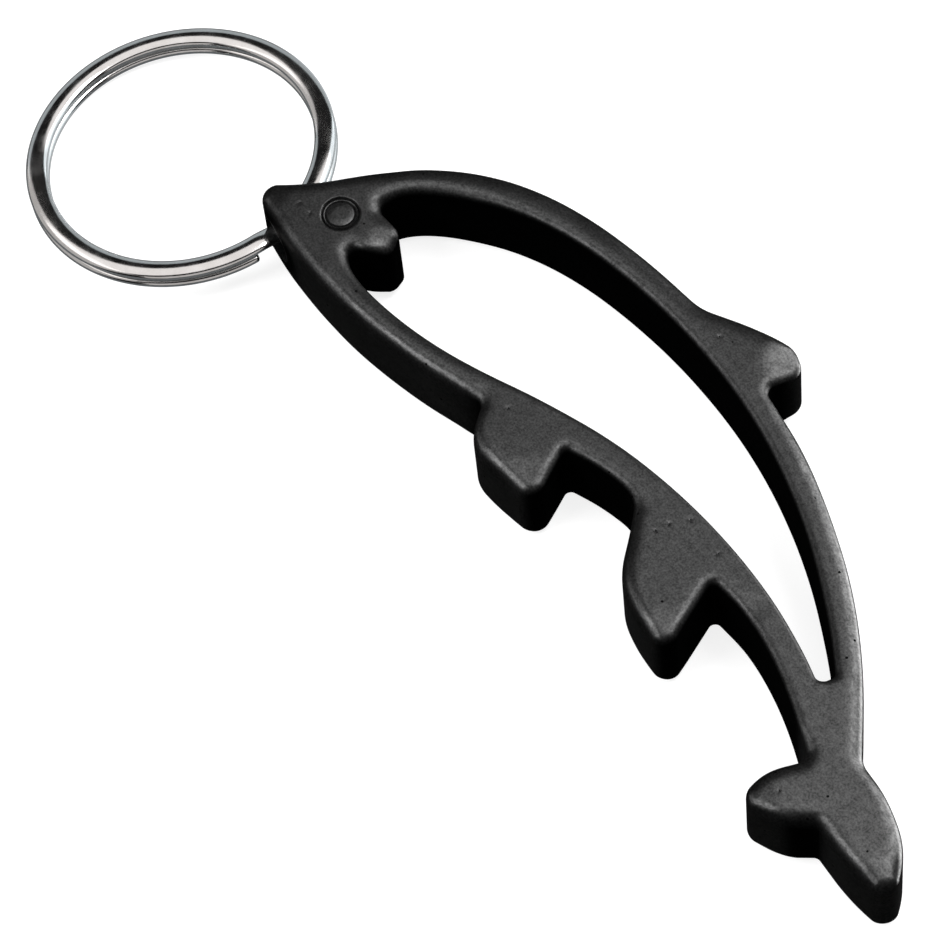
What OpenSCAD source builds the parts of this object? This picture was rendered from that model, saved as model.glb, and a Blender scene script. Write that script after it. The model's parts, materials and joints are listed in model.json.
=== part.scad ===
// Souvenir bottle opener: a flat dolphin of cast and tumbled aluminium with a black finish,
// and a split key ring through its nose. Millimetres, +Z up, lying flat on a table.

/* [Dolphin] */
// thickness of the plate
plate_t = 7; // [6:0.5:8]
// rounding of the outer edges, top and bottom
edge_r = 1; // [0.6:0.1:1]
// rounding of the edges around the window
window_r = 0.7; // [0.4:0.1:0.8]

/* [Eye] */
// diameter of the eye, to the outside of its groove
eye_d = 3.3; // [2.8:0.1:3.6]
// width of the groove around the eye
eye_groove_w = 0.5; // [0.3:0.1:0.6]
// depth of the groove
eye_groove_h = 0.3; // [0.1:0.05:0.4]

/* [Nose hole] */
// diameter of the hole drilled across the nose for the ring
hole_d = 3.4; // [3.2:0.1:3.6]
// diameter that the hole widens to past the forehead, where the wire bends most
mouth_d = 5.6; // [4.8:0.1:5.6]

/* [Split ring] */
// outside diameter of the ring
ring_od = 25; // [24:0.5:30]
// width of the flattened wire, across the ring
wire_w = 1.75; // [1.6:0.05:1.8]
// thickness of the wire in one turn
wire_t = 0.85; // [0.7:0.05:0.9]
// gap between the two turns
turn_gap = 0.05; // [0.04:0.01:0.1]

/* [Hidden] */
$fn = 96;

// where the opener sits in its frame: the middle of dolphin and ring together is the origin
at = [-26.06, -2.56];
// middle of the nose hole, from the dolphin's own origin, and the way the hole runs
hole_at = [0.7, -0.4];
hole_turn = 10.5;
// the ring hangs this far below the middle of its hole, and this far out towards the ring
ring_drop = 0.2;
ring_out = 0.25;
fillet_steps = 4;
// how far the flat of a rim runs into the web beside it
lap = 0.06;
curve_steps = 5;
arc_step = 15;

// Outlines. [x, y, r]: r above 0 is a corner of that radius, r = 0 a point the curve bends past.
// The outer outline, from the nose along the belly, round the tail and back over the dorsal fin.
outer = [
    // nose and belly
    [-2.5, -1.4, 1.5], [1.5, -2.5, 0], [6, -3.1, 0], [10.5, -3.25, 0],
    [15.5, -2.85, 0], [20.5, -2, 0], [24.9, -0.7, 0.8],
    // pectoral fin
    [27.05, -3.75, 0], [30.1, -3.9, 0], [34.3, -3.4, 1.4], [32.2, 1.35, 0.5],
    [35.2, 2.3, 0], [38.8, 2.75, 0], [40.35, 1.05, 0],
    // pelvic fin
    [43.3, -2.8, 0], [46.9, -4.05, 0], [50.5, -4.3, 1.2], [48.1, 2.3, 0.5],
    [52.5, 2.3, 0], [58.2, 0.65, 0], [63.75, -2.15, 0.6],
    // tail
    [62.3, -5.2, 0], [62.9, -8.1, 1.4], [66.6, -6.9, 0], [68.2, -5.1, 0.6],
    [72.3, -5.65, 0], [76.5, -5.3, 1.3], [74, -1.6, 0], [70, 0.2, 0], [66.6, 0.7, 2],
    // back and dorsal fin
    [61.4, 5.5, 0], [55.8, 9.5, 0], [50, 12.45, 0], [44, 14.85, 0], [38.2, 16, 0.8],
    [38.95, 19.4, 1.3], [36.8, 20.3, 1.8], [33.4, 19.2, 0], [29.4, 17.25, 5],
    [23, 17, 0], [16.4, 16.1, 0], [10.5, 13.9, 0], [5.95, 10.35, 0], [2.85, 6.05, 0], [0.45, 1.8, 0]
];

// The window, with the hook that catches a bottle cap at its nose end.
window = [
    [7.2, 0.4, 0.6], [8.8, -0.75, 0], [12.2, -1, 0], [17, -0.5, 0], [22, 0.75, 0],
    [28, 2.8, 0], [34, 4.5, 0], [40, 5.25, 0], [46, 5.3, 0], [52, 4.65, 0], [57, 3.4, 0],
    [59.8, 2.4, 0.6], [60.1, 3.8, 0.5], [56.25, 6.5, 0], [49.95, 10.1, 0], [43, 12.8, 0],
    [36, 14.4, 0], [28, 14.95, 0], [20, 14.3, 0], [14, 12.6, 0], [9, 9.6, 0],
    [6.15, 6.85, 0], [5.75, 4.55, 0.8], [7.2, 4.3, 0],
    [9, 4.25, 1.1], [9.75, 2.55, 0.95], [8.6, 1.3, 0]
];

wire_r = ring_od / 2 - wire_w / 2;
stack_h = 2 * wire_t + turn_gap;
pivot_z = plate_t / 2 - ring_drop;
rest_tilt = asin((pivot_z - stack_h / 2) / (wire_r + ring_out + ring_od / 2 - 0.3));

function unit(v) = v / norm(v);
function cyc(p, i) = let (n = len(p)) p[(i + n) % n];
function xy(p) = [p[0], p[1]];
function half_turn(a) = a > 180 ? a - 360 : a < -180 ? a + 360 : a;

// a smooth bend past v, from the middle of one side to the middle of the next
function bend(a, v, b) = [
    for (k = [0 : curve_steps - 1])
        let (t = k / curve_steps, p = (a + v) / 2, q = (v + b) / 2)
            pow(1 - t, 2) * p + 2 * t * (1 - t) * v + t * t * q
];

// a corner of radius r at v
function corner(a, v, b, r) =
    let (
        u = unit(a - v),
        w = unit(b - v),
        open = acos(u * w),
        lean = tan((180 - open) / 2),
        t = min(r * lean, norm(a - v) / 2, norm(b - v) / 2),
        rr = t / lean,
        c = v + unit(u + w) * rr / sin(open / 2),
        s = v + u * t - c,
        e = v + w * t - c,
        a0 = atan2(s[1], s[0]),
        d = half_turn(atan2(e[1], e[0]) - a0),
        n = max(2, ceil((180 - open) / arc_step))
    )
    [for (j = [0 : n]) c + rr * [cos(a0 + d * j / n), sin(a0 + d * j / n)]];

function drawn(p) = [
    for (i = [0 : len(p) - 1])
        let (a = xy(cyc(p, i - 1)), v = xy(p[i]), b = xy(cyc(p, i + 1)))
            each (p[i][2] == 0 ? bend(a, v, b) : corner(a, v, b, p[i][2]))
];
function apart(p) = [for (i = [0 : len(p) - 1]) if (norm(p[i] - cyc(p, i - 1)) > 0.03) p[i]];
function curve(p) = apart(drawn(p));

// the way out of a counter-clockwise curve at point i
function out_at(p, i) =
    let (
        e = unit(p[i] - cyc(p, i - 1)),
        f = unit(cyc(p, i + 1) - p[i]),
        t = unit(e + f)
    )
    [t[1], -t[0]];
// the curve moved inwards by d, or outwards for the hole's side
function inset(p, d) = [for (i = [0 : len(p) - 1]) p[i] - d * out_at(p, i)];

// section of the rim: inset from the outline, height
function rim_section(r) = concat(
    [[r + lap, 0]],
    [for (k = [0 : fillet_steps]) let (a = 90 * k / fillet_steps) [r - r * sin(a), r - r * cos(a)]],
    [for (k = [0 : fillet_steps]) let (a = 90 * k / fillet_steps)
        [r - r * cos(a), plate_t - r + r * sin(a)]],
    [[r + lap, plate_t]]
);

// the rounded rim that runs along a curve; side = 1 with the metal inside it, -1 outside it
module rim(p, r, side) {
    s = rim_section(r);
    n = len(p);
    m = len(s);
    pts = [
        for (j = [0 : m - 1]) let (q = inset(p, side * s[j][0]))
            for (i = [0 : n - 1]) [q[i][0], q[i][1], s[j][1]]
    ];
    tri = [
        for (j = [0 : m - 1], i = [0 : n - 1])
            let (
                a = j * n + i,
                b = j * n + (i + 1) % n,
                c = ((j + 1) % m) * n + (i + 1) % n,
                d = ((j + 1) % m) * n + i
            )
            each (side > 0 ? [[a, c, b], [a, d, c]] : [[a, b, c], [a, c, d]])
    ];
    polyhedron(points = pts, faces = tri, convexity = 12);
}

// the plate inside its rims
module web(p, q) {
    a = inset(p, edge_r + lap / 2);
    b = inset(q, -window_r - lap / 2);
    linear_extrude(height = plate_t, convexity = 12)
        polygon(
            points = concat(a, b),
            paths = [[for (i = [0 : len(a) - 1]) i], [for (i = [0 : len(b) - 1]) len(a) + i]]
        );
}

module eye_groove() {
    r = eye_d / 2 - eye_groove_w / 2;
    rotate_extrude()
        translate([r, 0])
            polygon([
                [-eye_groove_w / 2, 0.5],
                [-eye_groove_w / 2, 0],
                [-eye_groove_w / 5, -eye_groove_h],
                [eye_groove_w / 5, -eye_groove_h],
                [eye_groove_w / 2, 0],
                [eye_groove_w / 2, 0.5]
            ]);
}

// along the nose hole, with its middle at the origin and the hole along Y
module in_hole(z) {
    translate([at[0] + hole_at[0], at[1] + hole_at[1], z])
        rotate([0, 0, hole_turn])
            children();
}

module opener_body() {
    o = curve(outer);
    w = curve(window);
    color([0.09, 0.09, 0.1])
        difference() {
            translate([at[0], at[1], 0])
                union() {
                    web(o, w);
                    rim(o, edge_r, 1);
                    rim(w, window_r, -1);
                }
            in_hole(plate_t / 2)
                rotate([90, 0, 0])
                    cylinder(d = hole_d, h = 14, center = true);
            in_hole(plate_t / 2)
                rotate([-90, 0, 0])
                    translate([0, 0, 1.2])
                        cylinder(d1 = hole_d, d2 = mouth_d, h = 4.8);
            translate([at[0] + 4.6, at[1] + 1.8, plate_t])
                eye_groove();
            translate([at[0] + 4.6, at[1] + 1.8, 0])
                mirror([0, 0, 1])
                    eye_groove();
        }
}

// section of the flattened wire, softer on its outer side than its inner side
module wire_section() {
    w = wire_w;
    t = wire_t;
    ro = 0.32;
    ri = 0.26;
    translate([(ri - ro) / 2, 0])
        square([w - ri - ro, t], center = true);
    translate([ri / 2 + 0.2 - w / 2, 0])
        square([ri + 0.4, t - 2 * ri], center = true);
    translate([w / 2 - ro / 2 - 0.2, 0])
        square([ro + 0.4, t - 2 * ro], center = true);
    for (s = [-1, 1]) {
        translate([w / 2 - ro, s * (t / 2 - ro)])
            circle(r = ro);
        translate([ri - w / 2, s * (t / 2 - ri)])
            circle(r = ri);
    }
}

// one turn of the wire, from one angle to another, at a height
module turn_of_wire(from, to, z) {
    translate([0, 0, z])
        rotate([0, 0, from])
            rotate_extrude(angle = to - from)
                translate([wire_r, 0])
                    wire_section();
}

// the short step where the wire drops from the upper turn to the lower one
module step_down(from, to, rise) {
    n = 14;
    w = wire_w / 2 - 0.04;
    t = wire_t / 2 - 0.04;
    c = 0.16;
    ring = [
        [w, -t + c], [w, t - c], [w - c, t], [c - w, t],
        [-w, t - c], [-w, c - t], [c - w, -t], [w - c, -t]
    ];
    m = len(ring);
    function ease(x) = let (y = min(1, max(0, x))) y * y * (3 - 2 * y);
    pts = [
        for (i = [0 : n])
            let (
                a = from + (to - from) * i / n,
                z = rise / 2 - rise * ease((i - 1) / (n - 2))
            )
            for (p = ring) [(wire_r + p[0]) * cos(a), (wire_r + p[0]) * sin(a), z + p[1]]
    ];
    sides = [
        for (i = [0 : n - 1], j = [0 : m - 1])
            let (
                a = i * m + j,
                b = i * m + (j + 1) % m,
                d = (i + 1) * m + j,
                e = (i + 1) * m + (j + 1) % m
            )
            each [[a, b, e], [a, e, d]]
    ];
    caps = [[for (j = [0 : m - 1]) m - 1 - j], [for (j = [0 : m - 1]) n * m + j]];
    polyhedron(points = pts, faces = concat(sides, caps), convexity = 4);
}

module split_ring() {
    lift = (wire_t + turn_gap) / 2;
    color([0.78, 0.79, 0.8])
        in_hole(pivot_z)
            rotate([0, -rest_tilt, 0])
                translate([-wire_r - ring_out, 0, 0])
                    union() {
                        turn_of_wire(6, 344, lift);
                        turn_of_wire(4, 341, -lift);
                        step_down(343.2, 364.8, 2 * lift);
                    }
}

opener_body();
split_ring();
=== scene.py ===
import json
import math

import bmesh
import bpy
import numpy as np
from mathutils import Matrix, Vector, noise
from mathutils.geometry import delaunay_2d_cdt


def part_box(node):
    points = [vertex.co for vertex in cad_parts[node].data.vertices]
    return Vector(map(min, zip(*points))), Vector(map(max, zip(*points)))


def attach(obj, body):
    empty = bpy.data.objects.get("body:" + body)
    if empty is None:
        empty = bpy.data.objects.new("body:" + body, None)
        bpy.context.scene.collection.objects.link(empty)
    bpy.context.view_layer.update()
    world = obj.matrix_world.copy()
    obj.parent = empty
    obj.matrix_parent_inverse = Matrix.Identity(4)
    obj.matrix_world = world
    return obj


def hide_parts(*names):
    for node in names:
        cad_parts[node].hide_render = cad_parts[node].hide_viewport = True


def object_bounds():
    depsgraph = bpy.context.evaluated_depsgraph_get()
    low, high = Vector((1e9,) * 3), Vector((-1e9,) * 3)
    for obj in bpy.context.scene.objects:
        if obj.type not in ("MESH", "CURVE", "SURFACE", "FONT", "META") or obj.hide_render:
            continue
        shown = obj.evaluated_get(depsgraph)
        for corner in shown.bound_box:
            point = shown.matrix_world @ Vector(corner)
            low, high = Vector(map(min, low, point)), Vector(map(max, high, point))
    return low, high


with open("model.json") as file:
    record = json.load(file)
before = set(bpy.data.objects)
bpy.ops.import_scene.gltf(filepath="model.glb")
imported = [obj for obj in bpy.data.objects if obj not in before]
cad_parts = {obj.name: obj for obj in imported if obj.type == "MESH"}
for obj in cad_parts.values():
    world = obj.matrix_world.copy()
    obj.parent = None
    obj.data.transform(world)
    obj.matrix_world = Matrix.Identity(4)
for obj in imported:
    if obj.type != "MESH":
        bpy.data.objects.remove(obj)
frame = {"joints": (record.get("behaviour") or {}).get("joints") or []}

cad_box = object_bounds()
MM = 0.001
UP = Vector((0, 0, 1))

# ---------------------------------------------------------------- outlines
# [x, y, r] in mm, as in the CAD: r above 0 is a corner of that radius, r = 0 a point the curve
# bends past. Counter-clockwise.
OUTER = [
    # nose and belly
    [-2.5, -1.4, 1.5], [1.5, -2.5, 0], [6, -3.1, 0], [10.5, -3.25, 0],
    [15.5, -2.85, 0], [20.5, -2, 0], [24.9, -0.7, 0.8],
    # pectoral fin
    [27.05, -3.75, 0], [30.1, -3.9, 0], [34.3, -3.4, 1.4], [32.2, 1.35, 0.5],
    [35.2, 2.3, 0], [38.8, 2.75, 0], [40.35, 1.05, 0],
    # pelvic fin
    [43.3, -2.8, 0], [46.9, -4.05, 0], [50.5, -4.3, 1.2], [48.1, 2.3, 0.5],
    [52.5, 2.3, 0], [58.2, 0.65, 0], [63.75, -2.15, 0.6],
    # tail
    [62.3, -5.2, 0], [62.9, -8.1, 1.4], [66.6, -6.9, 0], [68.2, -5.1, 0.6],
    [72.3, -5.65, 0], [76.5, -5.3, 1.3], [74, -1.6, 0], [70, 0.2, 0], [66.6, 0.7, 2],
    # back and dorsal fin
    [61.4, 5.5, 0], [55.8, 9.5, 0], [50, 12.45, 0], [44, 14.85, 0], [38.2, 16, 0.8],
    [38.95, 19.4, 1.3], [36.8, 20.3, 1.8], [33.4, 19.2, 0], [29.4, 17.25, 5],
    [23, 17, 0], [16.4, 16.1, 0], [10.5, 13.9, 0], [5.95, 10.35, 0], [2.85, 6.05, 0], [0.45, 1.8, 0],
]
WINDOW = [
    [7.2, 0.4, 0.6], [8.8, -0.75, 0], [12.2, -1, 0], [17, -0.5, 0], [22, 0.75, 0],
    [28, 2.8, 0], [34, 4.5, 0], [40, 5.25, 0], [46, 5.3, 0], [52, 4.65, 0], [57, 3.4, 0],
    [59.8, 2.4, 0.6], [60.1, 3.8, 0.5], [56.25, 6.5, 0], [49.95, 10.1, 0], [43, 12.8, 0],
    [36, 14.4, 0], [28, 14.95, 0], [20, 14.3, 0], [14, 12.6, 0], [9, 9.6, 0],
    [6.15, 6.85, 0], [5.75, 4.55, 0.8], [7.2, 4.3, 0],
    [9, 4.25, 1.1], [9.75, 2.55, 0.95], [8.6, 1.3, 0],
]
EYE = np.array([4.6, 1.8])
EYE_R = 1.52  # radius of the eye's groove
PITS = 9  # on each face
STEP = 0.3  # mm between two points of an outline
RIM_STEPS = 12  # steps over a rim
WALL_STEPS = 8  # steps down the wall between the rims
# tips and corners that the tumbling wore down: x, y, reach and depth in mm, on both faces
WORN = [
    (38.9, 19.4, 3.7, 0.62), (33.2, -3.0, 3.0, 0.2), (49.6, -4.0, 2.8, 0.22),
    (63.2, -7.4, 2.6, 0.3), (75.9, -4.9, 3.2, 0.42), (-1.6, -1.0, 2.6, 0.26),
    (24.6, -1.0, 1.6, 0.12), (39.5, 1.9, 1.6, 0.1), (52.0, 3.0, 1.4, 0.06),
]
# the hook thins towards its tip, the same way, from a point in the window beyond it
HOOK_LEAN = (12.0, 2.6, 4.8, 0.95)
HOOK_STRETCH = 1.9  # the lean's reach along the opener is this many times its reach across
# the rear edges of the fins and the notches behind them are crisper, and their walls get painted
# shade, darker and duller
REAR_EDGES = [
    (25.4, -1.2), (33.6, -1.2), (32.6, 0.6), (33.6, 2.0), (36.0, 2.4), (38.4, 2.5),
    (49.6, -1.6), (48.6, 0.4), (48.8, 2.0), (51.0, 2.4), (53.4, 2.1), (55.8, 1.5),
    (58.2, 0.6), (60.4, -0.4), (38.7, 17.8), (38.4, 16.2),
]
# the painted shade on the walls reaches on round the belly fins' tips and into the tail's notch
SHADED_TIPS = [(34.1, -2.5), (50.3, -3.2), (67.6, -5.8)]
# but not to the dorsal fin's tip
DORSAL_TIP = (39.1, 19.3)

body_lo, body_hi = [np.array(v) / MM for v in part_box("opener_body")]
T = body_hi[2] - body_lo[2]


def drawn(points, step):
    """The smooth closed curve, with corners and bends cut into short steps."""
    n = len(points)
    out = []
    for i in range(n):
        a, v, b = (np.array(points[k % n][:2], float) for k in (i - 1, i, i + 1))
        r = points[i][2]
        if r == 0:
            p, q = (a + v) / 2, (v + b) / 2
            m = max(6, int((np.linalg.norm(v - p) + np.linalg.norm(q - v)) / step))
            for k in range(m):
                t = k / m
                out.append((1 - t) ** 2 * p + 2 * t * (1 - t) * v + t * t * q)
            continue
        u, w = (a - v) / np.linalg.norm(a - v), (b - v) / np.linalg.norm(b - v)
        opening = math.acos(float(u @ w))
        lean = math.tan((math.pi - opening) / 2)
        t = min(r * lean, np.linalg.norm(a - v) / 2, np.linalg.norm(b - v) / 2)
        rr = t / lean
        c = v + (u + w) / np.linalg.norm(u + w) * rr / math.sin(opening / 2)
        s, e = v + u * t - c, v + w * t - c
        a0 = math.atan2(s[1], s[0])
        d = (math.atan2(e[1], e[0]) - a0 + math.pi) % (2 * math.pi) - math.pi
        m = max(8, int(math.degrees(abs(d)) / 7), int(abs(d) * rr / step))
        turns = [a0 + d * k / m for k in range(m + 1)]
        out += [c + rr * np.array([math.cos(t), math.sin(t)]) for t in turns]
    out = np.array(out)
    # long straight runs between two corners get points too
    full = []
    for i in range(len(out)):
        p, q = out[i - 1], out[i]
        gap = np.linalg.norm(q - p)
        if gap < 0.02:
            continue
        m = max(1, int(gap / step))
        full += [p + (q - p) * (k + 1) / m for k in range(m)]
    return np.array(full)


def normals(p):
    """Unit vectors out of a counter-clockwise curve."""
    e = p - np.roll(p, 1, 0)
    f = np.roll(p, -1, 0) - p
    t = e / np.linalg.norm(e, axis=1)[:, None] + f / np.linalg.norm(f, axis=1)[:, None]
    t /= np.linalg.norm(t, axis=1)[:, None]
    return np.column_stack([t[:, 1], -t[:, 0]])


def smooth_loop(v, times):
    for _ in range(times):
        v = (np.roll(v, 1) + v * 2 + np.roll(v, -1)) / 4
    return v


def room(p, inward, others):
    """Radius of the largest circle that touches the curve at each point and holds none of others."""
    d = others[None, :, :] - p[:, None, :]
    side = np.einsum("ijk,ik->ij", d, inward)
    far = np.einsum("ijk,ijk->ij", d, d)
    with np.errstate(divide="ignore", invalid="ignore"):
        r = np.where((side > 1e-3) & (far > 1e-4), far / (2 * side), 99.0)
    return r.min(axis=1)


def inside(poly, pts):
    """Which of the points lie inside the closed curve."""
    x, y = pts[:, 0][:, None], pts[:, 1][:, None]
    a, b = poly, np.roll(poly, -1, 0)
    (ax, ay), (bx, by) = a.T[:, None, :], b.T[:, None, :]
    with np.errstate(divide="ignore", invalid="ignore"):
        at = ax + (y - ay) * (bx - ax) / (by - ay)
    return (((ay > y) != (by > y)) & (x < at)).sum(axis=1) % 2 == 1


def nearness(p, spots, none, full):
    """For each point of the outline 1 within full mm of one of the spots, down to 0 at none mm."""
    d = np.array([min(math.hypot(*(q - shift - s)) for s in spots) for q in p])
    return np.clip((none - d) / (none - full), 0, 1)


# ---------------------------------------------------------------- the dolphin plate
outer, window = drawn(OUTER, STEP), drawn(WINDOW, STEP)
shift = np.array([body_lo[0] - outer[:, 0].min(), body_lo[1] - outer[:, 1].min()])
outer, window = outer + shift, window + shift
eye = EYE + shift
in_outer, in_window = -normals(outer), normals(window)


def rim_size(p, inward, same, other, size, by_other):
    """The rounding along an edge: size, but less where a corner is tight or the other edge is near.
    It takes at most the share by_other of the room to the other edge."""
    r = np.minimum(size, 0.86 * room(p, inward, same))
    r = np.minimum(r, by_other * room(p, inward, other))
    r = smooth_loop(r, 6)
    wave = np.array([noise.noise(Vector((q[0] * 0.35, q[1] * 0.35, 3.0 + size))) for q in p])
    return r * (1 + 0.05 * wave)


crisp = smooth_loop(nearness(outer, REAR_EDGES, 2.6, 1.4), 10)
shaded_walls = np.maximum(crisp, smooth_loop(nearness(outer, SHADED_TIPS, 1.9, 1.1), 2))
shaded_walls *= 1 - smooth_loop(nearness(outer, [DORSAL_TIP], 1.6, 0.7), 2)
rim_outer = (rim_size(outer, in_outer, outer, window, 0.9, 0.95) * crisp
             + rim_size(outer, in_outer, outer, window, 1.4, 1.1) * (1 - crisp))

# the window's rim is broader round the head, but not on the hook
wx, wy = (window - shift).T
on_hook = smooth_loop(((wx > 7.0) & (wx < 11) & (wy > 0.8) & (wy < 4.5)).astype(float), 6)
near_head = np.clip((15 - wx) / 8, 0, 1) * (1 - on_hook)
rim_window = (rim_size(window, in_window, window, outer, 1.4, 0.86) * near_head
              + rim_size(window, in_window, window, outer, 0.85, 0.8) * (1 - near_head))
# the window's edge on the belly side is crisp from the pectoral fin on
crisp_window = smooth_loop(np.clip((wx - 21) / 6, 0, 1) * np.clip(-2 * in_window[:, 1], 0, 1), 6)
rim_window *= 1 - 0.5 * crisp_window
# the window's lower rim is worn rounder near the head
head = np.clip((32 - wx) / 16, 0, 1)
low_window = rim_size(window, in_window, window, outer, 1.5, 0.86) * head + rim_window * (1 - head)


def profile(steps, soft):
    """Inset and depth of the rounding from the flat down to the wall, for a rounding of 1.
    It starts softly from the flat, as on a tumbled casting."""
    a = np.linspace(0, math.pi / 2, steps + 1)
    k = 1 + soft * (1 - np.sin(a)) ** 2
    dx, dz = k * np.cos(a), k * np.sin(a)
    h = a[1] - a[0]
    x = np.concatenate([[0], np.cumsum((dx[1:] + dx[:-1]) / 2 * h)])
    z = np.concatenate([[0], np.cumsum((dz[1:] + dz[:-1]) / 2 * h)])
    return (x[-1] - x) / x[-1], z / x[-1]


def face_wave(x, y, top):
    """The slight unevenness of the cast and tumbled face, in mm, never above the flat."""
    s = 0.0 if top else 40.0
    a = noise.noise(Vector((x * 0.16, y * 0.16, s)))
    b = noise.noise(Vector((x * 0.55, y * 0.55, s + 9)))
    return -0.022 + 0.016 * a + 0.006 * b


def eye_height(r):
    """Height over the face by distance from the eye's middle, in mm: a fine groove round it, and a
    slightly raised disc with a worn edge, set a little lower than the face."""
    groove = -0.26 * math.exp(-((r - EYE_R + 0.08) / 0.085) ** 2)
    edge = -0.25 * math.exp(-((r - EYE_R + 0.36) / 0.1) ** 2)
    disc = 0.03 * max(0.0, 1 - (r / 1.1) ** 2)
    lowered = -0.04 / (1 + math.exp((r - EYE_R + 0.1) / 0.04))
    return groove + edge + disc + lowered


inset, depth = profile(RIM_STEPS, 2.0)
verts, faces, shade_and_dull = [], [], []


def rows(p, inward, rim, low_rim, deep, wall_shade):
    """The rows of points from the upper face's edge over the rim, down the wall and round to the
    lower face's edge. Returns the first point's number in the first and the last row, and how many
    points a row has."""
    n = len(p)
    # inset, depth and side (1 the upper rim, 0 the wall, -1 the lower rim) of each row
    upper = [(inset[j], depth[j], 1) for j in range(RIM_STEPS + 1)]
    wall = [(0, j / WALL_STEPS, 0) for j in range(1, WALL_STEPS)]
    levels = upper + wall + [(x, z, -1) for x, z, _ in reversed(upper)]
    first = len(verts)
    for x, z, kind in levels:
        q = p + inward * ((low_rim if kind < 0 else rim) * x)[:, None]
        if kind == 1:
            h = T - rim * deep * z
        elif kind == -1:
            h = low_rim * deep * z
        else:
            h = (T - rim * deep * depth[-1]) * (1 - z) + low_rim * deep * depth[-1] * z
        for i in range(n):
            hz = h[i]
            if kind:
                hz += kind * face_wave(q[i, 0], q[i, 1], kind == 1) * (1 - z) ** 2
            verts.append((q[i, 0], q[i, 1], hz))
            # the walls' painted shade fades in over the rims
            shade_and_dull.append(wall_shade[i] * min(1.0, 1.6 * z) if kind else wall_shade[i])
    last = len(verts) - n
    for j in range(len(levels) - 1):
        for i in range(n):
            a, b = first + j * n + i, first + j * n + (i + 1) % n
            faces.append((a, a + n, b + n, b))
    return first, last, n


# the outer rim is deeper than wide on the belly side
belly_side = smooth_loop(np.clip(-(in_outer @ np.array([0.34, -0.94])), 0, 1) * (1 - crisp), 4)
ring_o = rows(outer, in_outer, rim_outer, rim_outer, 1 + 0.45 * belly_side, shaded_walls)
# the window's walls all carry full painted shade
ring_w = rows(window, in_window, rim_window, low_window, 1.0, np.ones(len(window)))


def fill(top):
    """The flat face between the rims, cut fine enough for the eye's groove and the pits."""
    start, start_w = (ring_o[0], ring_w[0]) if top else (ring_o[1], ring_w[1])
    edge_o = np.array(verts[start:start + ring_o[2]])[:, :2]
    edge_w = np.array(verts[start_w:start_w + ring_w[2]])[:, :2]
    rng = np.random.default_rng(7 if top else 8)
    # an even net of triangles, clear of the edges and of the eye
    pitch = 0.42
    xs = np.arange(edge_o[:, 0].min(), edge_o[:, 0].max(), pitch)
    ys = np.arange(edge_o[:, 1].min(), edge_o[:, 1].max(), pitch * 0.87)
    grid = np.array([(x + (pitch / 2 if j % 2 else 0), y) for j, y in enumerate(ys) for x in xs])
    grid = grid[inside(edge_o, grid) & ~inside(edge_w, grid)]
    edges = np.vstack([edge_o, edge_w])
    far = np.array([np.min(np.hypot(*(edges - p).T)) for p in grid])
    grid, far = grid[far > 0.2], far[far > 0.2]
    clear = np.hypot(*(grid - eye).T) > EYE_R + 0.22
    grid, far = grid[clear], far[clear]
    # rings of points for the eye
    extra = [eye]
    for r in np.concatenate([np.arange(0.35, 1.0, 0.22), np.arange(1.05, EYE_R + 0.2, 0.055)]):
        m = max(8, int(2 * math.pi * r / (0.1 if r > 1 else 0.2)))
        angles = [2 * math.pi * k / m for k in range(m)]
        extra += [eye + r * np.array([math.cos(a), math.sin(a)]) for a in angles]
    # pits left by the casting: place, radius and depth
    pits = []
    spots = grid[far > 0.45]
    for p in spots[rng.permutation(len(spots))]:
        if len(pits) >= PITS:
            break
        if np.hypot(*(p - eye)) < EYE_R + 0.6:
            continue
        if all(np.hypot(p[0] - q[0], p[1] - q[1]) > 0.9 for q, _, _ in pits):
            size = rng.choice([0.04, 0.055, 0.075], p=[0.45, 0.4, 0.15])
            pits.append((p + rng.uniform(-0.1, 0.1, 2), size, size * rng.uniform(1.6, 2.2)))
    for q, r, _ in pits:
        grid = grid[np.hypot(*(grid - q).T) > r * 2 + 0.06]
    low = {}  # how far each of the pits' points lies below the face
    for q, r, d in pits:
        # each ring's radius, its share of the depth, and how many points it has
        for rr, dd, m in ((0, 1.0, 1), (r * 0.55, 0.85, 7), (r, 0.12, 9), (r * 1.5, 0.0, 9)):
            for k in range(m):
                a = 2 * math.pi * k / m
                bulge = 1 + 0.18 * math.sin(3 * a + q[0] * 7)
                extra.append(q + rr * bulge * np.array([math.cos(a), math.sin(a)]))
                low[len(extra) - 1] = -d * dd
    n_o, n_w = len(edge_o), len(edge_w)
    pts = [Vector(v) for part in (edge_o, edge_w, grid, extra) for v in part]
    loops = [(i, (i + 1) % n_o) for i in range(n_o)]
    loops += [(n_o + i, n_o + (i + 1) % n_w) for i in range(n_w)]
    out_v, _, out_f, orig, _, _ = delaunay_2d_cdt(pts, loops, [], 0, 1e-5, True)
    number = []
    for k, v in enumerate(out_v):
        src = orig[k][0] if orig[k] else -1
        if 0 <= src < n_o:
            number.append(start + src)
        elif n_o <= src < n_o + n_w:
            number.append(start_w + src - n_o)
        else:
            w = face_wave(v.x, v.y, top) + low.get(src - n_o - n_w - len(grid), 0.0)
            r = math.hypot(v.x - eye[0], v.y - eye[1])
            if r < EYE_R + 0.6:
                w += eye_height(r)
            number.append(len(verts))
            verts.append((v.x, v.y, T + w if top else -w))
            shade_and_dull.append(0.0)
    mid = np.array([[sum(out_v[i].x for i in f) / 3, sum(out_v[i].y for i in f) / 3] for f in out_f])
    ok = inside(edge_o, mid) & ~inside(edge_w, mid)
    for f, good in zip(out_f, ok):
        if good:
            a, b, c = (out_v[i] for i in f)
            ids = [number[i] for i in f]
            faces.append(ids if ((b - a).cross(c - a) > 0) == top else ids[::-1])


fill(True)
fill(False)


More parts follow.
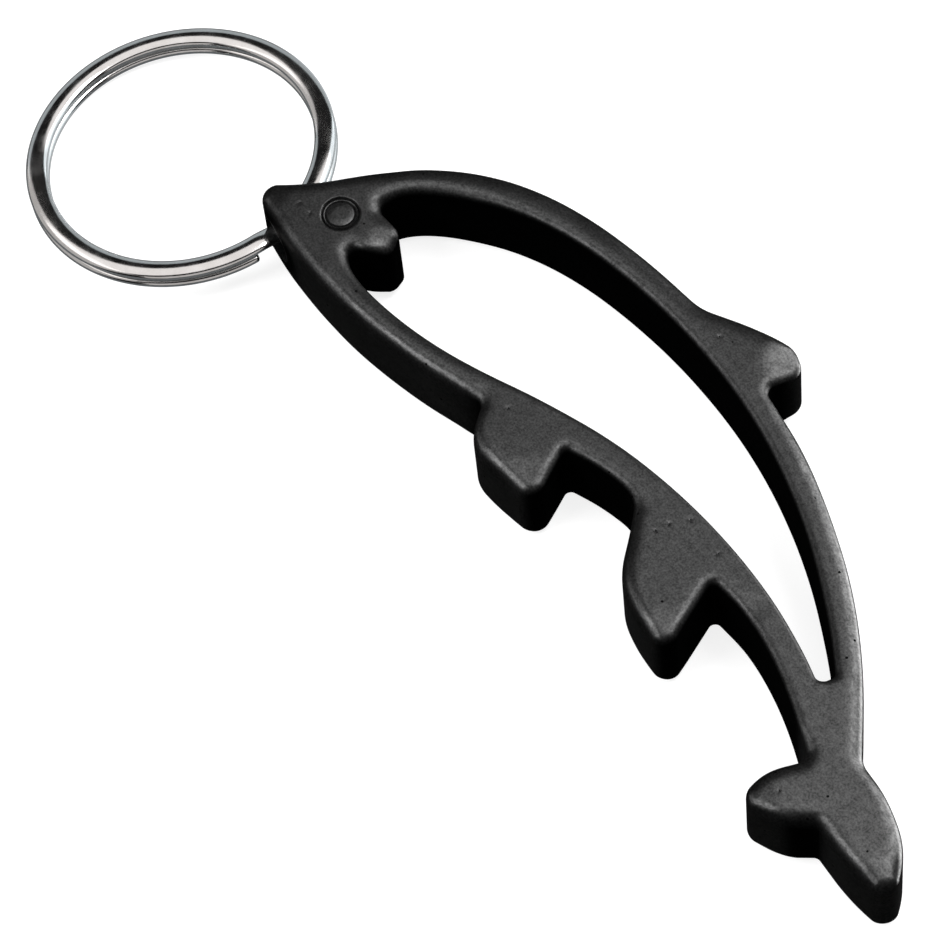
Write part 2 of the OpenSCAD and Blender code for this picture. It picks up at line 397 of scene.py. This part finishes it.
def worn(x, y):
    """How far the face is worn down near the tips."""
    total = 0.0
    for cx, cy, reach, amount in WORN:
        d = math.hypot(x - shift[0] - cx, y - shift[1] - cy) / reach
        if d < 1:
            total += amount * (1 - d * d) ** 2
    cx, cy, reach, amount = HOOK_LEAN
    d = math.hypot(x - shift[0] - cx, HOOK_STRETCH * (y - shift[1] - cy)) / reach
    return total + (amount * (1 - d * d) ** 2 if d < 1 else 0.0)


verts = [(x, y, T / 2 + (z - T / 2) * (1 - worn(x, y) / (T / 2))) for x, y, z in verts]

joint = frame["joints"][0]
hinge = Vector(joint["pos_m"]) / MM
swing_axis = Vector(joint["axis"]).normalized()

# painted shade: the coating is made darker and duller round the hole's mouth at the chin, and a little
# all over the nose
chin = hinge - swing_axis * 2.9
for k, v in enumerate(verts):
    d = (Vector(v) - chin).length
    shade_and_dull[k] = max(shade_and_dull[k], min(1.0, 1.7 * (1 - (d / 4.2) ** 2)), 0.24 * (1 - (d / 10.0) ** 2))


def new_mesh(name, v, f):
    """An object from points in mm."""
    mesh = bpy.data.meshes.new(name)
    mesh.from_pydata([tuple(c * MM for c in p) for p in v], [], f)
    mesh.update()
    obj = bpy.data.objects.new(name, mesh)
    bpy.context.scene.collection.objects.link(obj)
    bm = bmesh.new()
    bm.from_mesh(mesh)
    bmesh.ops.recalc_face_normals(bm, faces=bm.faces)
    bm.to_mesh(mesh)
    bm.free()
    return obj


def smooth(obj, angle):
    """Smooth shading, with a hard edge only where two faces meet at more than angle degrees."""
    bm = bmesh.new()
    bm.from_mesh(obj.data)
    for f in bm.faces:
        f.smooth = True
    for e in bm.edges:
        if len(e.link_faces) == 2 and e.calc_face_angle(0) > math.radians(angle):
            e.smooth = False
    bm.to_mesh(obj.data)
    bm.free()


def tube(count, around):
    """Faces of a closed tube: count rows of around points each, and a cap at both ends."""
    f = []
    for j in range(count - 1):
        for k in range(around):
            a, b = j * around + k, j * around + (k + 1) % around
            f.append((a, b, b + around, a + around))
    f.append(tuple(range(around))[::-1])
    f.append(tuple(range((count - 1) * around, count * around)))
    return f


def set_shade_and_dull(obj, values):
    """How much painted shade, darker and duller coating, lies at each point, from 0 to 1."""
    obj.data.attributes.new("shade_and_dull", "FLOAT", "POINT").data.foreach_set("value", values)


opener = new_mesh("dolphin_opener", verts, faces)
set_shade_and_dull(opener, shade_and_dull)

# the nose hole, cut by a turned piece of these places along the hinge's axis and radii. It flares a
# little at the chin, where it is worn, and widely at the forehead, so that the ring can fold over
LEVELS = [(-9, 1.76), (-2.6, 1.74), (-2.1, 1.72), (-1.6, 1.7), (-1.1, 1.7), (1.2, 1.7),
          (2.6, 2.0), (4.2, 2.37), (5.4, 2.64), (6.5, 2.9)]
AROUND = 72
across = swing_axis.cross(UP).normalized()
cv = []
for y, r in LEVELS:
    for k in range(AROUND):
        a = 2 * math.pi * k / AROUND
        cv.append(tuple(hinge + swing_axis * y + across * (r * math.cos(a)) + UP * (r * math.sin(a))))
cutter = new_mesh("cutter", cv, tube(len(LEVELS), AROUND))
# the hole's walls carry full painted shade
set_shade_and_dull(cutter, [1.0] * len(cv))
cut = opener.modifiers.new("hole", "BOOLEAN")
cut.operation = "DIFFERENCE"
cut.solver = "EXACT"
cut.object = cutter
depsgraph = bpy.context.evaluated_depsgraph_get()
drilled = bpy.data.meshes.new_from_object(opener.evaluated_get(depsgraph))
opener.modifiers.clear()
opener.data = drilled
bpy.data.objects.remove(cutter)
smooth(opener, 38)

# ---------------------------------------------------------------- the split ring
WIRE_W, WIRE_T, GAP = 1.75, 0.85, 0.05  # the wire's width and thickness, and the gap between turns
RING_OD = 25.0
WIRE_R = RING_OD / 2 - WIRE_W / 2
LIFT = (WIRE_T + GAP) / 2  # from the ring's middle plane to the middle of a turn
WIRE_FROM, WIRE_TO = 6, 702.5  # the cut ends, in degrees along the wire; 0 and 360 are in the nose
DOWN_AT, DOWN_OVER = 344, 20  # where it steps from the upper to the lower turn, in degrees
DROP = 0.2  # how far the ring lies below the plate's middle at the hinge
OUT = 0.25  # how far the wire lies from the hinge towards the ring's middle
PIVOT = T / 2 - DROP
# the ring leans so that its far side rests on the floor; 0.3 is the rounding of its edge
TILT = math.asin((PIVOT - (2 * WIRE_T + GAP) / 2) / (WIRE_R + OUT + RING_OD / 2 - 0.3))


def ease(x):
    """From 0 to 1, softly at both ends."""
    x = min(1.0, max(0.0, x))
    return x * x * (3 - 2 * x)


def wire_section(n=40):
    """The wire's section: a flattened oval, a little fuller on its inner side."""
    pts = []
    for k in range(n):
        a = 2 * math.pi * k / n
        c, s = math.cos(a), math.sin(a)
        power = 2.1 if c > 0 else 2.2
        x = math.copysign(abs(c) ** (2 / power), c) * WIRE_W / 2
        z = math.copysign(abs(s) ** (2 / power), s) * WIRE_T / 2
        pts.append((x, z))
    return pts


def wire(step=1.5):
    """The whole wire, two turns with the short step between them, with softly rounded cut ends."""
    section = wire_section()
    length = WIRE_TO - WIRE_FROM
    n = int(length / step)
    end = math.degrees(0.28 / WIRE_R)  # how much of the wire is rounded off
    opening = np.linspace(0, math.pi / 2, 7)
    closing = opening[::-1]
    body = [WIRE_FROM + end + (length - 2 * end) * k / n for k in range(1, n)]
    angles = [WIRE_FROM + end * (1 - math.cos(t)) for t in opening]
    angles += body + [WIRE_TO - end * (1 - math.cos(t)) for t in closing]
    sizes = [math.sin(t) for t in opening] + [1.0] * len(body) + [math.sin(t) for t in closing]
    v = []
    for a, s in zip(angles, sizes):
        h = LIFT - 2 * LIFT * ease((a - DOWN_AT) / DOWN_OVER)
        size = 0.45 + 0.55 * s if s < 1 else 1.0
        ca, sa = math.cos(math.radians(a)), math.sin(math.radians(a))
        for x, z in section:
            r = WIRE_R + x * size
            v.append((r * ca, r * sa, h + z * size))
    return v, tube(len(angles), len(section))


wv, wf = wire()
turn = math.atan2(-swing_axis.x, swing_axis.y)
place = (Matrix.Translation((hinge.x, hinge.y, PIVOT))
         @ Matrix.Rotation(turn, 4, "Z") @ Matrix.Rotation(-TILT, 4, "Y")
         @ Matrix.Translation((-WIRE_R - OUT, 0, 0)))
wv = [tuple(place @ Vector(p)) for p in wv]
ring = new_mesh("key_split_ring", wv, wf)
smooth(ring, 45)


# ---------------------------------------------------------------- materials
def material(name):
    """A new material, its node tree and its shader."""
    mat = bpy.data.materials.new(name)
    mat.use_nodes = True
    nt = mat.node_tree
    return mat, nt, nt.nodes["Principled BSDF"]


def node(nt, kind, **values):
    """A new node, with the named inputs and properties set."""
    n = nt.nodes.new(kind)
    for k, v in values.items():
        if k in n.inputs:
            n.inputs[k].default_value = v
        else:
            setattr(n, k, v)
    return n


def ramp(nt, fac, stops):
    """The colour of a ramp through (place, grey or colour) stops."""
    n = nt.nodes.new("ShaderNodeValToRGB")
    elements = n.color_ramp.elements
    while len(elements) < len(stops):
        elements.new(0.5)
    for item, (at, c) in zip(elements, stops):
        item.position = at
        item.color = (*c, 1) if isinstance(c, tuple) else (c, c, c, 1)
    nt.links.new(fac, n.inputs["Fac"])
    return n.outputs["Color"]


def calc(nt, operation, *values, clamp=False):
    """The result of a math node. The values are sockets or numbers."""
    n = node(nt, "ShaderNodeMath", operation=operation, use_clamp=clamp)
    for socket, value in zip(n.inputs, values):
        if isinstance(value, float):
            socket.default_value = value
        else:
            nt.links.new(value, socket)
    return n.outputs[0]


def multiply(nt, one, other):
    """The product of two colours."""
    n = node(nt, "ShaderNodeMixRGB", blend_type="MULTIPLY", Fac=1.0)
    nt.links.new(one, n.inputs[1])
    nt.links.new(other, n.inputs[2])
    return n.outputs[0]


def clouds(nt, where, scale, detail, roughness):
    """Smooth noise, from 0 to 1."""
    n = node(nt, "ShaderNodeTexNoise", Scale=scale, Detail=detail, Roughness=roughness)
    nt.links.new(where, n.inputs["Vector"])
    return n.outputs["Fac"]


def relief(nt, height, bsdf, strength, distance):
    """A bump on the surface."""
    n = node(nt, "ShaderNodeBump", Strength=strength, Distance=distance)
    nt.links.new(height, n.inputs["Height"])
    nt.links.new(n.outputs["Normal"], bsdf.inputs["Normal"])


def black_coating():
    """Satin black coating over a tumbled casting: mottled at two scales, with a few dark pin holes."""
    mat, nt, bsdf = material("black_coating")
    link = nt.links.new
    where = node(nt, "ShaderNodeTexCoord").outputs["Object"]
    broad = clouds(nt, where, 260.0, 4.0, 0.6)
    blotch = clouds(nt, where, 1700.0, 2.0, 0.5)
    grain = clouds(nt, where, 5600.0, 2.0, 0.6)
    cells = node(nt, "ShaderNodeTexVoronoi", Scale=1400.0)
    link(where, cells.inputs["Vector"])
    # the painted shade laid on the mesh: on walls, notches, the hole and round the chin
    shade_mask = node(nt, "ShaderNodeAttribute", attribute_name="shade_and_dull").outputs["Fac"]

    # a pin hole stands in about one cell out of seven
    some = ramp(nt, cells.outputs["Color"], [(0.85, 0.0), (0.86, 1.0)])
    near = ramp(nt, cells.outputs["Distance"], [(0.08, 1.0), (0.18, 0.0)])
    hole = calc(nt, "MULTIPLY", some, near)

    # nearly black, with grain in it, and blacker still under the painted shade
    tone = multiply(nt, ramp(nt, broad, [(0.3, 0.002), (0.7, 0.0034)]),
                    ramp(nt, grain, [(0.36, 0.6), (0.5, 1.0), (0.66, 1.4)]))
    tone = multiply(nt, tone, ramp(nt, shade_mask, [(0.0, 1.0), (1.0, 0.1)]))
    link(tone, bsdf.inputs["Base Color"])

    # gloss: blotches and grain, none in the pin holes and next to none under the painted shade
    patches = ramp(nt, blotch, [(0.3, 0.0), (0.7, 1.0)])
    fine = ramp(nt, grain, [(0.34, 0.2), (0.5, 0.34), (0.66, 0.48)])
    gloss = calc(nt, "SUBTRACT", calc(nt, "MULTIPLY_ADD", patches, 0.17, fine), hole, clamp=True)
    gloss = calc(nt, "MULTIPLY", gloss, ramp(nt, shade_mask, [(0.0, 1.0), (1.0, 0.05)]))
    link(gloss, bsdf.inputs["Specular IOR Level"])

    # rougher under the painted shade, smoother in the glossy blotches
    rough = calc(nt, "MULTIPLY_ADD", shade_mask, 0.2, ramp(nt, broad, [(0.3, 0.33), (0.7, 0.4)]))
    rough = calc(nt, "MULTIPLY_ADD", patches, -0.04, rough)
    link(rough, bsdf.inputs["Roughness"])

    relief(nt, calc(nt, "MULTIPLY_ADD", grain, 0.6, blotch), bsdf, 0.3, 0.00003)
    return mat


def nickel_plate():
    """Bright plating, a little cloudy and finely scuffed."""
    mat, nt, bsdf = material("nickel_plate")
    link = nt.links.new
    where = node(nt, "ShaderNodeTexCoord").outputs["Object"]
    cloud = clouds(nt, where, 500.0, 3.0, 0.6)
    tones = [(0.3, (0.63, 0.62, 0.61)), (0.7, (0.74, 0.735, 0.73))]
    link(ramp(nt, cloud, tones), bsdf.inputs["Base Color"])
    link(ramp(nt, cloud, [(0.35, 0.1), (0.7, 0.18)]), bsdf.inputs["Roughness"])
    relief(nt, clouds(nt, where, 5200.0, 3.0, 0.6), bsdf, 0.12, 0.00001)
    bsdf.inputs["Metallic"].default_value = 1.0
    return mat


for obj, mat, body, cad, slot in (
    (opener, black_coating(), "dolphin", "opener_body", "black_aluminium"),
    (ring, nickel_plate(), "ring", "split_ring", "plated_wire"),
):
    obj.data.materials.clear()
    obj.data.materials.append(mat)
    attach(obj, body)
    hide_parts(cad)

# ---------------------------------------------------------------- floor, light, camera
HALF = 3.0  # half the floor's width, m
floor_mesh = bpy.data.meshes.new("floor")
floor_mesh.from_pydata([(-HALF, -HALF, 0), (HALF, -HALF, 0), (HALF, HALF, 0), (-HALF, HALF, 0)],
                       [], [(0, 1, 2, 3)])
floor = bpy.data.objects.new("floor", floor_mesh)
bpy.context.scene.collection.objects.link(floor)
mat, nt, bsdf = material("pale_floor")
bsdf.inputs["Base Color"].default_value = (0.3, 0.3, 0.3, 1)
bsdf.inputs["Emission Color"].default_value = (1, 1, 1, 1)
bsdf.inputs["Emission Strength"].default_value = 0.84
bsdf.inputs["Roughness"].default_value = 0.9
bsdf.inputs["Specular IOR Level"].default_value = 0.0
floor_mesh.materials.append(mat)
floor.visible_glossy = False

world = bpy.data.worlds.new("studio")
bpy.context.scene.world = world
world.use_nodes = True
world.node_tree.nodes["Background"].inputs["Color"].default_value = (0.01, 0.01, 0.01, 1)


def direction(azimuth, elevation):
    """The unit vector towards these angles in degrees; azimuth is from +X."""
    a, e = math.radians(azimuth), math.radians(elevation)
    return Vector((math.cos(e) * math.cos(a), math.cos(e) * math.sin(a), math.sin(e)))


def softbox(name, azimuth, elevation, distance, width, height, radiance):
    """A soft area light that looks at the middle of the object."""
    way = direction(azimuth, elevation)
    light = bpy.data.lights.new(name, "AREA")
    light.shape = "RECTANGLE"
    light.size, light.size_y = width, height
    light.energy = math.pi * width * height * radiance
    obj = bpy.data.objects.new(name, light)
    obj.location = way * distance
    obj.rotation_euler = way.to_track_quat("Z", "Y").to_euler()
    bpy.context.scene.collection.objects.link(obj)
    return obj


def receivers(name, *objects):
    """A collection that a light is linked to, so that it lights these objects only."""
    group = bpy.data.collections.new(name)
    for obj in objects:
        group.objects.link(obj)
    return group


# azimuth and elevation in degrees, distance, width and height in m, radiance, and what the light
# falls on (None for everything)
not_ring = receivers("not_ring", opener, floor)
for name, azimuth, elevation, distance, width, height, radiance, group in (
    ("overhead", 150, 81, 0.6, 0.4, 0.4, 3.4, not_ring),
    ("high_right", 72, 64, 0.6, 0.24, 0.24, 10.0, None),
    ("front_left", 248, 47, 0.6, 0.3, 0.28, 10.0, not_ring),
    ("left", 225, 22, 0.6, 0.3, 0.2, 2.4, not_ring),
    ("away_right", 90, 32, 0.6, 0.34, 0.4, 8.0, not_ring),
    ("low_right", 78, 5, 0.6, 0.5, 0.14, 10.0, not_ring),
    # what the pale table mirrors of the bright right side, seen in the opener's rounded back
    ("table_right", 70, -13, 0.6, 0.5, 0.26, 12.0, receivers("opener_only", opener)),
):
    lamp = softbox(name, azimuth, elevation, distance, width, height, radiance)
    if group:
        lamp.light_linking.receiver_collection = group

# the bright ring mirrors a white tent and a pale table, which the satin opener does not
ring_only = receivers("ring_only", ring)
WARM, COOL = (1.0, 0.965, 0.95), (0.88, 0.96, 1.0)
for name, azimuth, elevation, distance, width, height, radiance, tint in (
    ("tent_top", 147, 78, 0.5, 1.1, 0.5, 1.1, WARM),
    ("tent_away", 147, 14, 0.6, 1.2, 0.34, 0.5, COOL),
    ("tent_right", 78, 33, 0.6, 0.62, 0.6, 1.3, COOL),
    ("tent_left", 226, 28, 0.6, 0.8, 0.6, 0.55, WARM),
    ("tent_front", 327, 30, 0.6, 0.9, 0.5, 0.6, WARM),
    ("table_glow", 0, -90, 0.05, 3.0, 3.0, 0.17, COOL),
    ("table_away", 88, -25, 0.5, 0.9, 0.5, 0.5, COOL),
):
    glow = softbox(name, azimuth, elevation, distance, width, height, radiance)
    glow.data.color = tint
    glow.light_linking.receiver_collection = ring_only

# the camera stands 33 degrees round from the tail, looking down at 59.4 degrees, turned a little
AZIMUTH, ELEVATION, ROLL = -33.0, 59.4, -7.27
DISTANCE, LENS = 0.378636, 193.34  # m from the aim, and mm
AIM_OFF = (0.00138, -0.0072)  # m from the object's middle to the aim
lo, hi = cad_box
middle = (lo + hi) / 2
aim = Vector((middle.x + AIM_OFF[0], middle.y + AIM_OFF[1], hi.z / 2))
back = direction(AZIMUTH, ELEVATION)
cam_data = bpy.data.cameras.new("camera")
cam_data.lens = LENS
cam_data.sensor_width = 36
cam_data.sensor_fit = "HORIZONTAL"
cam_data.clip_start = 0.01
cam = bpy.data.objects.new("camera", cam_data)
cam.matrix_world = (Matrix.Translation(aim + back * DISTANCE)
                    @ back.to_track_quat("Z", "Y").to_matrix().to_4x4()
                    @ Matrix.Rotation(math.radians(ROLL), 4, "Z"))
bpy.context.scene.collection.objects.link(cam)
bpy.context.scene.camera = cam
bpy.context.scene.view_settings.view_transform = "Standard"
